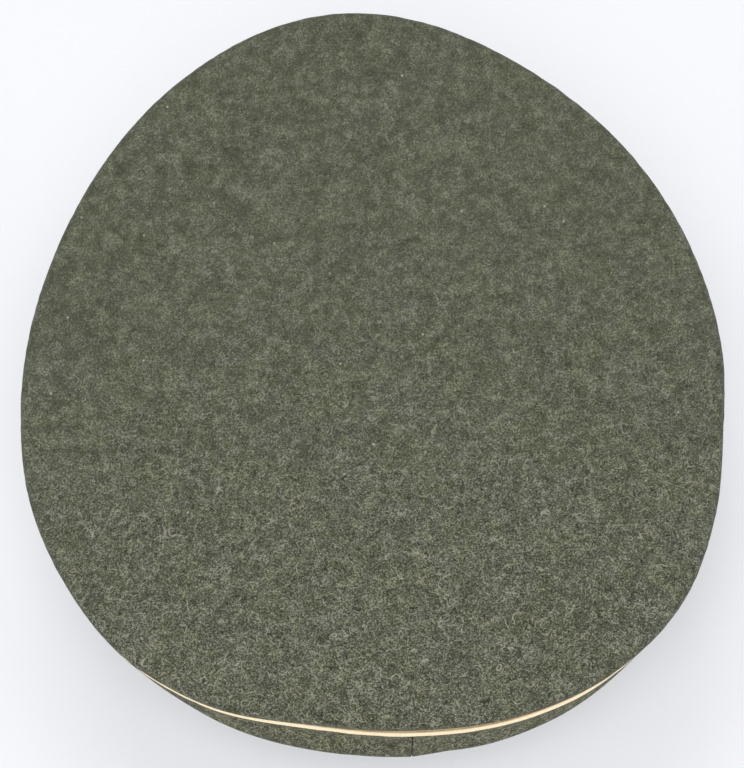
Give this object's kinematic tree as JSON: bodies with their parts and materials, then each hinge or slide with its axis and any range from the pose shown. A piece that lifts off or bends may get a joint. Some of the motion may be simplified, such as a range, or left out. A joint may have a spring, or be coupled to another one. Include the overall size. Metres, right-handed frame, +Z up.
{
  "type": "peaked cap",
  "caption": "Field-grey wool peaked cap with cream piping, a raised saddle crown, black peak and chin strap, resting on its band and peak.",
  "frame": {"origin": "on the table under the middle of the cap's bounding box", "axes": "-Y towards the peak, +X to the wearer's left, +Z up as the cap rests on a table"},
  "size_m": [0.2594, 0.2988, 0.1404],
  "materials": {
    "wool": "felted field-grey wool cloth",
    "band_wool": "dark green wool cloth",
    "piping": "cream wool piping",
    "peak_black": "black lacquered fibre",
    "strap_leather": "black leather",
    "button_black": "black lacquered metal"
  },
  "bodies": {
    "root": {"crown_top": "wool", "quarter_front_left": "wool", "quarter_front_right": "wool", "quarter_rear_left": "wool", "quarter_rear_right": "wool", "crown_piping": "piping", "band_piping_upper": "piping", "band_piping_lower": "piping", "band": "band_wool", "peak": "peak_black", "chin_strap": "strap_leather", "button_left": "button_black", "button_right": "button_black"}
  },
  "joints": []
}
